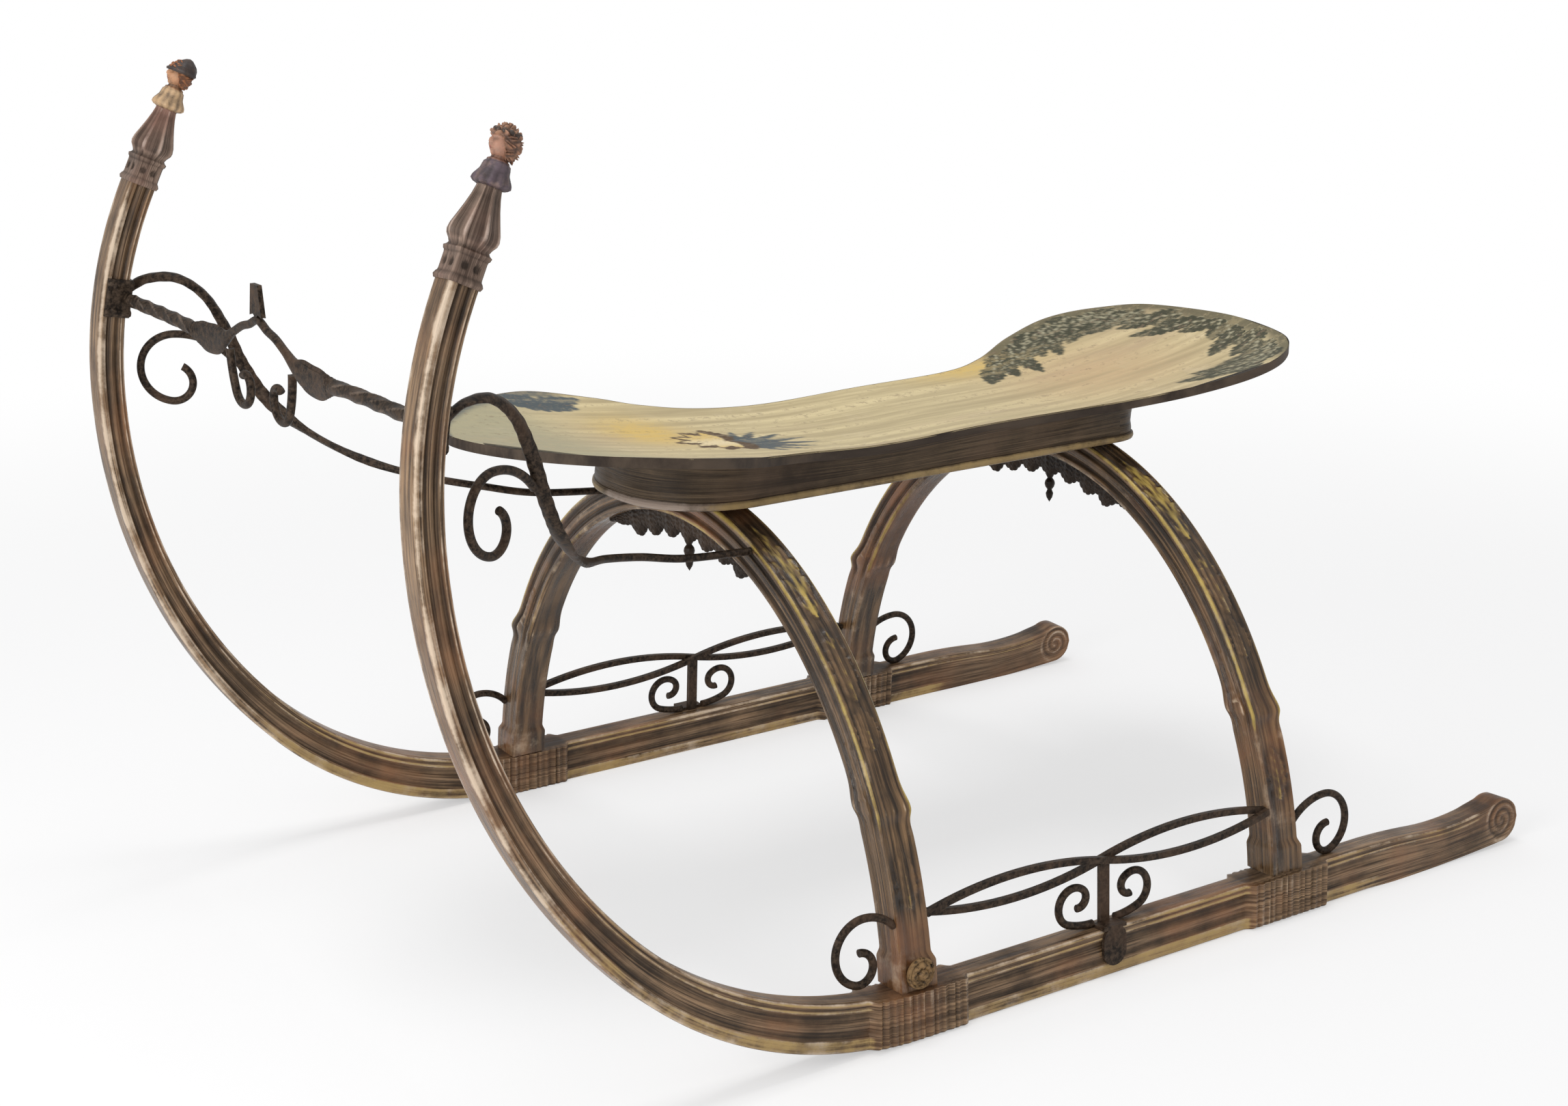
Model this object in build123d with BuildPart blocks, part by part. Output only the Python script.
from build123d import *
from math import cos, pi, radians, sin
import os

# Wooden riding sled with tall curved runner horns. Millimetres.
# +X is forward, towards the horns, +Y is the sled's left side, +Z is up.
# The origin is on the ground, in the middle of the sled's length and width.

# Driving sizes
overall_length = 1176
half_track = 340
lean_angle = 3
crown_cut = 3

# Runner bar
runner_width = 26
runner_depth = 44
horn_depth = 24
bend_run = 430
bend_rise = 496
bend_split = 46
full_bend = 90
horn_radius = 420
horn_sweep = 25
flute_width_share = 0.13
flute_places_share = (0.3, 0.62)
flute_depth = 2.5
heel_radius = 22
heel_lift = 5
heel_flat_end = 170
heel_start_angle = 60
heel_turn = 205
swoop_length = 215
swoop_dip_share = 0.62
swoop_drop = 4
saddle_length = 104
saddle_proud = 7

# Finial and bust on each horn
collar_width = 28
collar_height = 25
collar_chamfer = 2.5
bulb_foot_radius = 13
bulb_neck_radius = 10
bulb_belly_radius = 21
bulb_height = 46
bulb_belly_share = 0.3
bulb_sides = 8
bust_radius = 15
bust_height = 23
bust_swell_share = 0.5
bust_neck_radius = 6
bust_neck_height = 5
head_radius = 12.5

# Bows that carry the seat
bow_places = {"front": 158, "rear": -269}
foot_overhang = 11
bow_height = 403
bow_depth = 30
bow_width = 32
bow_flute_depth = 2.5
bow_flute_shares = ((0.22, 0.36), (0.64, 0.78))
knee_height = 172
knee_length = 26
knee_proud = 2.5
foot_length = 30
foot_proud = 3

# Carved apron under each bow's crown
apron_half_width = 146
apron_drop = 24
apron_thickness = 12
scallop_count = 11
scallop_reach = 52
scallop_radius = 7
pendant_radius = 5
pendant_length = 41

# Seat board, skirt and base moulding
seat_swell_half = 156
seat_tail_end = -505
seat_nose_end = 393
seat_section_half = 175
seat_low = 432
seat_rise = 54
seat_thickness = 9
seat_dish = 20
skirt_half_width = 95
skirt_front = 235
skirt_rear = -303
skirt_front_corner = 86
skirt_rear_corner = 30
skirt_middle_share = 0.4
moulding_thickness = 8
moulding_proud = 4

# Seat line from tail to nose, each row a share of the length and a share of the rise
seat_line_shares = (
    (0.0, 0.98),
    (0.05, 0.66),
    (0.11, 0.44),
    (0.2, 0.22),
    (0.29, 0.08),
    (0.445, 0.05),
    (0.58, 0.0),
    (0.69, 0.12),
    (0.78, 0.28),
    (0.88, 0.52),
    (1.0, 0.85),
)

# Half plan of the seat from tail to nose, each row a share of the length and a share of the swell
seat_plan_shares = (
    (0.0, 0.0),
    (0.022, 0.62),
    (0.066, 0.9),
    (0.128, 1.0),
    (0.2, 0.91),
    (0.267, 0.735),
    (0.334, 0.645),
    (0.49, 0.63),
    (0.646, 0.647),
    (0.713, 0.756),
    (0.757, 0.897),
    (0.824, 1.0),
    (0.891, 0.865),
    (0.935, 0.67),
    (0.98, 0.35),
    (1.0, 0.0),
)

# Line of a stay strap, each row shares of the way from the front bow up to the horn, along, across and up
strap_route_shares = (
    (0.887, 0.935, 1.024),
    (0.827, 0.898, 0.942),
    (0.785, 0.855, 0.772),
    (0.761, 0.844, 0.631),
    (0.701, 0.8, 0.447),
    (0.619, 0.57, 0.277),
    (0.535, 0.3, 0.195),
    (0.436, 0.13, 0.146),
    (0.318, 0.07, 0.092),
    (0.186, 0.05, 0.034),
)

# Ironwork
crossbar_radius = 6.5
clamp_share = 0.429
clamp_thickness = 4
clamp_height = 34
clamp_bite = 2
crest_half_width = 68
crest_radius = 68
crest_turn = 50
crest_point = 4
flare_place = 107
flare_length = 78
flare_depth = 25
flare_thickness = 7
flare_drop = 4
spear_radius = 5
spear_length = 36
plate_width = 24
plate_height = 28
plate_thickness = 4
plate_taper = 80
hook_place = 62
hook_radii = (92, 16, 9)
hook_turns = (25, 165, 120)
hook_bar = 3.5
strap_radius = 4.5
strap_lift = 5
strap_ends_spread = 124
strap_end_height = 371
brace_height = 104
brace_wave = 12
brace_strip = 5
brace_thickness = 6
post_width = 10
post_thickness = 5
leaf_height = 34
leaf_width = 26
leaf_thickness = 3
scroll_bar = 3.5
end_scroll_heights = {"front": 100, "rear": 84}
end_scroll_first = {"front": 40, "rear": 56}
end_scroll_radii = (29, 14)
end_scroll_turns = (50, 160, 200)
end_scroll_springing = 50
post_scroll_radii = (80, 17, 9)
post_scroll_turns = (20, 200, 150)
stay_scroll_share = 0.255
stay_scroll_inset = 3
stay_scroll_spread = 26
stay_scroll_springing = 50
stay_scroll_radii = (66, 31, 17)
stay_scroll_turns = (50, 170, 160)
rosette_radius = 14
rosette_thickness = 5
cut_extra = 5

os.makedirs("parts", exist_ok=True)
sides = {"left": 1, "right": -1}
front_end = overall_length / 2
rear_end = -overall_length / 2
bend_start = front_end - bend_run
bow_reach = half_track + foot_overhang
seat_rail_bottom = bow_height - crown_cut
sink = runner_width / 2 * sin(radians(lean_angle))


def save(shape, label):
    """Name a finished piece and write it."""
    shape.label = label
    export_step(shape, f"parts/{label}.step")


def runner_plane(side, out=0):
    """Plane of one runner: X forward, Y up along the leaning bar, moved `out` to its outer side."""
    lean = radians(lean_angle)
    origin = (0, side * (half_track + out * cos(lean)), out * sin(lean) - sink)
    return Plane(origin=origin, x_dir=(1, 0, 0), z_dir=(0, -cos(lean), -side * sin(lean)))


def bar_bends(share):
    """Arcs of the line that runs at a share of the bar's depth, 0 at the sole and 1 at the top."""
    level = share * runner_depth
    run = bend_run - share * horn_depth
    rise = bend_rise - level
    split_angle = radians(bend_split)
    scale = sin(split_angle) + cos(split_angle) - 1
    low_radius = (run * cos(split_angle) - rise * (1 - sin(split_angle))) / scale
    high_radius = (rise * sin(split_angle) - run * (1 - cos(split_angle))) / scale
    low = JernArc(start=(bend_start, level), tangent=(1, 0), radius=low_radius, arc_size=bend_split)
    high = JernArc(start=low @ 1, tangent=low % 1, radius=high_radius, arc_size=full_bend - bend_split)
    horn = JernArc(start=high @ 1, tangent=high % 1,
                   radius=horn_radius - share * horn_depth, arc_size=horn_sweep)
    return low, high, horn


def horn_plane(side, share):
    """Plane across a horn at a share of its last bend: X inwards or outwards, Z along the horn."""
    with BuildLine(mode=Mode.PRIVATE):
        horn = bar_bends(0.5)[2]
    base = runner_plane(side)
    origin = base.from_local_coords(horn @ share)
    tip = base.from_local_coords(horn @ share + horn % share)
    return Plane(origin=origin, x_dir=base.z_dir, z_dir=tip - origin)


def scroll_arcs(start, tangent, radii, turns, hand):
    """Chain of tangent arcs that curls one way: hand is 1 anticlockwise and -1 clockwise."""
    place = start
    heading = tangent
    for radius, turn in zip(radii, turns):
        arc = JernArc(start=place, tangent=heading, radius=radius, arc_size=hand * turn)
        place = arc @ 1
        heading = arc % 1


runners = {}
bows = {}
clamps = {}

# Bent runners with long flutes, a saddle under each bow foot and a rolled heel
for name, side in sides.items():
    heel_centre = (rear_end + heel_radius, heel_radius + heel_lift)
    deck_end = rear_end + swoop_length
    with BuildPart() as runner:
        with BuildSketch(runner_plane(side)):
            with BuildLine():
                sole = bar_bends(0)
                top = bar_bends(1)
                Line(sole[2] @ 1, top[2] @ 1)
                ground = Line((bend_start, 0), (rear_end + heel_flat_end, 0))
                heel = CenterArc(heel_centre, heel_radius, heel_start_angle, heel_turn)
                TangentArc(ground @ 1, heel @ 1, tangent=(-1, 0))
                deck = Line((bend_start, runner_depth), (deck_end, runner_depth))
                dip_end = (rear_end + swoop_length * swoop_dip_share, runner_depth - swoop_drop)
                dip = TangentArc(deck @ 1, dip_end, tangent=(-1, 0))
                TangentArc(dip @ 1, heel @ 0, tangent=dip % 1)
            make_face()
        extrude(amount=runner_width / 2, both=True)
        for face in (-1, 1):
            for share in flute_places_share:
                with BuildSketch(runner_plane(side, face * (runner_width / 2 - flute_depth))):
                    with BuildLine():
                        lower = bar_bends(share)
                        upper = bar_bends(share + flute_width_share)
                        lower_back = (deck_end, share * runner_depth)
                        upper_back = (deck_end, (share + flute_width_share) * runner_depth)
                        Line(lower[0] @ 0, lower_back)
                        Line(lower_back, upper_back)
                        Line(upper_back, upper[0] @ 0)
                        Line(lower[2] @ 1, upper[2] @ 1)
                    make_face()
                extrude(amount=-face * side * (flute_depth + cut_extra), mode=Mode.SUBTRACT)
        with BuildSketch(runner_plane(side)):
            for place in bow_places.values():
                with Locations((place, runner_depth / 2)):
                    SlotOverall(saddle_length, runner_depth)
        extrude(amount=runner_width / 2 + saddle_proud, both=True)
        split(bisect_by=Plane.XY, keep=Keep.TOP)
    runners[name] = runner.part
    save(runner.part, f"runner_{name}")

# Square collar and eight-sided bulb, with a carved bust above
for name, side in sides.items():
    seat = horn_plane(side, 1)
    belly = collar_height + bulb_height * bulb_belly_share
    shoulder = collar_height + bulb_height
    swell = shoulder + bust_height * bust_swell_share
    throat = shoulder + bust_height
    with BuildPart() as finial:
        with BuildSketch(seat):
            Rectangle(collar_width, collar_width)
        extrude(amount=collar_height)
        chamfer(finial.edges(), collar_chamfer)
        with BuildSketch(seat.offset(collar_height)):
            RegularPolygon(bulb_foot_radius, bulb_sides)
        with BuildSketch(seat.offset(belly)):
            RegularPolygon(bulb_belly_radius, bulb_sides)
        loft()
        with BuildSketch(seat.offset(belly)):
            RegularPolygon(bulb_belly_radius, bulb_sides)
        with BuildSketch(seat.offset(shoulder)):
            RegularPolygon(bulb_neck_radius, bulb_sides)
        loft()
    save(finial.part, f"horn_finial_{name}")
    with BuildPart() as bust:
        with BuildSketch(seat.offset(shoulder)):
            Circle(bulb_neck_radius)
        with BuildSketch(seat.offset(swell)):
            Circle(bust_radius)
        with BuildSketch(seat.offset(throat)):
            Circle(bust_neck_radius)
        loft()
        with BuildSketch(seat.offset(throat)):
            Circle(bust_neck_radius)
        extrude(amount=bust_neck_height)
        with Locations(seat.offset(throat + bust_neck_height + head_radius / 2)):
            Sphere(head_radius)
    save(bust.part, f"horn_bust_{name}")


def bow_ring(outer, inner):
    """Oval ring between two depths below a bow's outer edge."""
    Ellipse(bow_reach - outer, bow_height - outer)
    Ellipse(bow_reach - inner, bow_height - inner, mode=Mode.SUBTRACT)


# Arched bows with knees, feet and flutes
for name, place in bow_places.items():
    with BuildPart() as bow:
        with BuildSketch(Plane.YZ.offset(place)):
            bow_ring(0, bow_depth)
        extrude(amount=bow_width / 2, both=True)
        for level, length, proud in (
            (knee_height, knee_length, knee_proud),
            (runner_depth - cut_extra, foot_length + cut_extra, foot_proud),
        ):
            with BuildSketch(Plane.YZ.offset(place)):
                bow_ring(-proud, bow_depth + proud)
                with Locations((0, level + length / 2)):
                    Rectangle(2 * (bow_reach + proud), length, mode=Mode.INTERSECT)
            extrude(amount=bow_width / 2 + proud, both=True)
        for face in (-1, 1):
            for start, stop in bow_flute_shares:
                with BuildSketch(Plane.YZ.offset(place + face * (bow_width / 2 - bow_flute_depth))):
                    bow_ring(start * bow_depth, stop * bow_depth)
                    with Locations((0, knee_height + knee_length + bow_height / 2)):
                        Rectangle(2 * bow_reach, bow_height, mode=Mode.INTERSECT)
                extrude(amount=face * (bow_flute_depth + cut_extra), mode=Mode.SUBTRACT)
        for side in sides.values():
            base = runner_plane(side)
            deck = base.from_local_coords((0, runner_depth))
            split(bisect_by=Plane(origin=deck, x_dir=(1, 0, 0), z_dir=base.y_dir), keep=Keep.TOP)
        split(bisect_by=Plane.XY.offset(seat_rail_bottom), keep=Keep.BOTTOM)
        for runner in runners.values():
            add(runner, mode=Mode.SUBTRACT)
    bows[name] = bow.part
    save(bow.part, f"bow_{name}")

# Scalloped aprons with a pendant inside each crown
tooth_reach = bow_reach - bow_depth - apron_drop
tooth_height = bow_height - bow_depth - apron_drop
for name, place in bow_places.items():
    with BuildPart() as apron:
        with BuildSketch(Plane.YZ.offset(place)):
            bow_ring(bow_depth, bow_depth + apron_drop)
            with Locations((0, bow_height)):
                Rectangle(2 * apron_half_width, bow_height, mode=Mode.INTERSECT)
            for step in range(scallop_count):
                turn = pi / 2 + radians(scallop_reach) * (step / (scallop_count - 1) - 1 / 2)
                with Locations((tooth_reach * cos(turn), tooth_height * sin(turn))):
                    Circle(scallop_radius, mode=Mode.SUBTRACT)
        extrude(amount=apron_thickness / 2, both=True)
        with Locations((place, 0, tooth_height + scallop_radius + pendant_radius - pendant_length / 2)):
            Cone(pendant_radius / 3, pendant_radius, pendant_length)
    save(apron.part, f"apron_{name}")


# Seat board: dished sections lofted along the sled, trimmed to the plan outline
with BuildPart() as board:
    for along, lift in seat_line_shares:
        section_x = seat_tail_end + along * (seat_nose_end - seat_tail_end)
        level = seat_low + lift * seat_rise
        half = seat_section_half
        with BuildSketch(Plane.YZ.offset(section_x)):
            with BuildLine():
                rim = level + seat_dish
                ThreePointArc((-half, rim), (0, level), (half, rim))
                Line((half, rim), (half, rim - seat_thickness))
                ThreePointArc((half, rim - seat_thickness), (0, level - seat_thickness),
                              (-half, rim - seat_thickness))
                Line((-half, rim - seat_thickness), (-half, rim))
            make_face()
    loft()
    with BuildSketch():
        with BuildLine():
            rim_points = []
            for along, out in seat_plan_shares:
                rim_points.append((seat_tail_end + along * (seat_nose_end - seat_tail_end), out * seat_swell_half))
            Spline(*rim_points, tangents=((0, 1), (0, -1)))
            mirror(about=Plane.XZ)
        make_face()
    extrude(amount=seat_low + 2 * seat_rise, mode=Mode.INTERSECT)
save(board.part, "seat_board")


def skirt_plan(grow):
    """Plan of the skirt with a round front and a squarer rear, grown by a margin on every side."""
    middle = skirt_front - skirt_middle_share * (skirt_front - skirt_rear)
    for end, corner in ((skirt_front, skirt_front_corner), (skirt_rear, skirt_rear_corner)):
        reach = end - middle
        with Locations((middle + reach / 4, 0)):
            RectangleRounded(abs(reach) * 3 / 2 + 2 * grow, 2 * (skirt_half_width + grow), corner + grow)


# Deep skirt under the board and its base moulding
with BuildPart() as skirt:
    with BuildSketch(Plane.XY.offset(seat_rail_bottom + moulding_thickness)):
        skirt_plan(0)
    extrude(amount=seat_rise + seat_thickness)
    add(board.part, mode=Mode.SUBTRACT)
skirt_solid = skirt.part.solids().sort_by(Axis.Z)[0]
save(skirt_solid, "seat_skirt")
with BuildPart() as moulding:
    with BuildSketch(Plane.XY.offset(seat_rail_bottom)):
        skirt_plan(moulding_proud)
    extrude(amount=moulding_thickness)
    fillet(moulding.faces().sort_by(Axis.Z)[-1].edges(), moulding_proud)
save(moulding.part, "seat_moulding")

# Clamp plate over the inner and rear faces of each horn
for name, side in sides.items():
    with BuildPart() as clamp:
        with BuildSketch(horn_plane(side, clamp_share).offset(-clamp_height / 2)):
            with Locations((side * clamp_thickness / 2, -clamp_thickness / 2)):
                Rectangle(runner_width + clamp_thickness, horn_depth + clamp_thickness)
            Rectangle(runner_width, horn_depth, mode=Mode.SUBTRACT)
        extrude(amount=clamp_height)
        add(runners[name], mode=Mode.SUBTRACT)
    clamps[name] = clamp.part
    save(clamp.part, f"horn_clamp_{name}")

# Crossbar between the horns with its pointed crest, leaf flares and spear
bar_seat = horn_plane(1, clamp_share)
horn_rear = bar_seat.from_local_coords((0, -horn_depth / 2 - clamp_thickness, 0))
bar_x = horn_rear.X + clamp_thickness + clamp_bite
bar_reach = horn_rear.Y - runner_width / 2 - clamp_thickness + clamp_bite
bar_plane = Plane(origin=(bar_x, 0, horn_rear.Z), x_dir=(0, 1, 0), z_dir=(1, 0, 0))
crest_top = crest_radius * (1 - cos(radians(crest_turn)))
with BuildPart() as crossbar:
    with BuildLine(bar_plane) as half_bar:
        rod = Line((bar_reach, 0), (crest_half_width, 0))
        rise_arc = JernArc(start=rod @ 1, tangent=(-1, 0), radius=crest_radius, arc_size=-crest_turn)
        Line(rise_arc @ 1, (0, crest_top + crest_point))
    with BuildSketch(Plane(half_bar.line @ 0, z_dir=half_bar.line % 0)):
        Circle(crossbar_radius)
    sweep(path=half_bar.line)
    with BuildSketch(bar_plane):
        with Locations((flare_place, -flare_drop)):
            Ellipse(flare_length / 2, flare_depth / 2)
    extrude(amount=flare_thickness / 2, both=True)
    mirror(about=Plane.XZ)
    with Locations(bar_plane.location * Location((0, crest_top - spear_length / 2, 0), (-full_bend, 0, 0))):
        Cone(spear_radius, spear_radius / 4, spear_length)
    for clamp in clamps.values():
        add(clamp, mode=Mode.SUBTRACT)
save(crossbar.part, "horn_crossbar")

# Crest plate on the crossbar's point
with BuildPart() as plate:
    with BuildSketch(bar_plane.offset(-plate_thickness / 2)):
        with Locations((0, crest_top + crest_point + plate_height / 2)):
            Trapezoid(plate_width, plate_height, plate_taper)
    extrude(amount=plate_thickness)
    add(crossbar.part, mode=Mode.SUBTRACT)
save(plate.part, "crest_plate")

# Hooks that hang below the crest, one each side
with BuildPart() as hooks:
    for side in sides.values():
        with BuildLine(bar_plane) as hook_line:
            scroll_arcs((side * hook_place, 0), (0, -1), hook_radii, hook_turns, -side)
        with BuildSketch(Plane(hook_line.line @ 0, z_dir=hook_line.line % 0)):
            Circle(hook_bar)
        sweep(path=hook_line.line)
    add(crossbar.part, mode=Mode.SUBTRACT)
save(hooks.part, "crest_hooks")

# Stay straps from the horns down to the front bow, each with a hanging scroll
bow_face = bow_places["front"] + bow_width / 2
for name, side in sides.items():
    strap_top = Vector(horn_rear.X + clamp_bite, side * horn_rear.Y, horn_rear.Z + strap_lift)
    strap_foot = Vector(bow_face, side * strap_ends_spread, strap_end_height)
    rise_way = strap_top - strap_foot
    route = [strap_top]
    for along, across, up in strap_route_shares:
        route.append(strap_foot + Vector(along * rise_way.X, across * rise_way.Y, up * rise_way.Z))
    route.append(strap_foot)
    with BuildPart() as strap:
        with BuildLine() as strap_line:
            Spline(*route)
        with BuildSketch(Plane(strap_line.line @ 0, z_dir=strap_line.line % 0)):
            Circle(strap_radius)
        sweep(path=strap_line.line)
        for carrier in (clamps[name], runners[name], bows["front"]):
            add(carrier, mode=Mode.SUBTRACT)
    save(strap.part, f"stay_strap_{name}")
    root = strap_line.line @ stay_scroll_share
    spread = radians(stay_scroll_spread)
    scroll_plane = Plane(origin=root, x_dir=(cos(spread), side * sin(spread), 0),
                         z_dir=(side * sin(spread), -cos(spread), 0))
    with BuildPart() as scroll:
        with BuildLine(scroll_plane) as scroll_line:
            springing = radians(stay_scroll_springing)
            scroll_arcs((stay_scroll_inset, 0), (cos(springing), sin(springing)),
                        stay_scroll_radii, stay_scroll_turns, -1)
        with BuildSketch(Plane(scroll_line.line @ 0, z_dir=scroll_line.line % 0)):
            Circle(scroll_bar)
        sweep(path=scroll_line.line)
        add(strap.part, mode=Mode.SUBTRACT)
    save(scroll.part, f"stay_scroll_{name}")

# Side irons along each runner
brace_front = bow_places["front"] - bow_width / 2
brace_rear = bow_places["rear"] + bow_width / 2
brace_middle = (brace_front + brace_rear) / 2
for name, side in sides.items():
    base = runner_plane(side)
    with BuildPart() as brace:
        for hand in (1, -1):
            layer = runner_plane(side, hand * brace_strip / 2)
            with BuildLine(layer) as wave:
                ThreePointArc((brace_front, brace_height),
                              ((brace_front + brace_middle) / 2, brace_height + hand * brace_wave),
                              (brace_middle, brace_height))
                ThreePointArc((brace_middle, brace_height),
                              ((brace_rear + brace_middle) / 2, brace_height - hand * brace_wave),
                              (brace_rear, brace_height))
            with BuildSketch(Plane(wave.line @ 0, x_dir=layer.z_dir, z_dir=wave.line % 0)):
                Rectangle(brace_strip, brace_thickness)
            sweep(path=wave.line)
        for bow in bows.values():
            add(bow, mode=Mode.SUBTRACT)
    save(brace.part, f"side_brace_{name}")
    with BuildPart() as post:
        with BuildSketch(base):
            with Locations((brace_middle, (runner_depth + brace_height - brace_thickness / 2) / 2)):
                Rectangle(post_width, brace_height - brace_thickness / 2 - runner_depth)
        extrude(amount=post_thickness / 2, both=True)
        with BuildSketch(base):
            with Locations((brace_middle, runner_depth + leaf_thickness / 2)):
                Rectangle(leaf_width, leaf_thickness)
        extrude(amount=-side * (runner_width / 2 + leaf_thickness))
        with BuildSketch(runner_plane(side, runner_width / 2)):
            with Locations((brace_middle, runner_depth - leaf_height / 2 + leaf_thickness / 2)):
                SlotOverall(leaf_height + leaf_thickness, leaf_width, rotation=90)
        extrude(amount=-side * leaf_thickness)
        add(brace.part, mode=Mode.SUBTRACT)
        add(runners[name], mode=Mode.SUBTRACT)
    save(post.part, f"side_post_{name}")
    with BuildPart() as curls:
        for hand in (1, -1):
            start = (brace_middle + hand * leaf_width / 2, runner_depth + scroll_bar)
            with BuildLine(base) as curl:
                scroll_arcs(start, (hand, 0), post_scroll_radii, post_scroll_turns, hand)
            with BuildSketch(Plane(curl.line @ 0, z_dir=curl.line % 0)):
                Circle(scroll_bar)
            sweep(path=curl.line)
        add(post.part, mode=Mode.SUBTRACT)
    save(curls.part, f"side_curls_{name}")
    for end, place, hand in (
        ("front", bow_places["front"] + bow_width / 2, 1),
        ("rear", bow_places["rear"] - bow_width / 2, -1),
    ):
        with BuildPart() as end_scroll:
            springing = radians(end_scroll_springing)
            with BuildLine(base) as end_line:
                scroll_arcs((place, end_scroll_heights[end]), (hand * cos(springing), sin(springing)),
                            (end_scroll_first[end], *end_scroll_radii), end_scroll_turns, -hand)
            with BuildSketch(Plane(end_line.line @ 0, z_dir=end_line.line % 0)):
                Circle(scroll_bar)
            sweep(path=end_line.line)
            for carrier in (bows[end], runners[name]):
                add(carrier, mode=Mode.SUBTRACT)
        save(end_scroll.part, f"end_scroll_{end}_{name}")
    with BuildPart() as rosette:
        with BuildSketch(Plane.XZ.offset(-side * (bow_reach - foot_proud))):
            with Locations((bow_places["front"], runner_depth + foot_length / 2)):
                Circle(rosette_radius)
        extrude(amount=-side * (2 * foot_proud + rosette_thickness))
        add(bows["front"], mode=Mode.SUBTRACT)
    save(rosette.part.solids().sort_by(Axis.Y)[-1 if side > 0 else 0], f"foot_rosette_{name}")
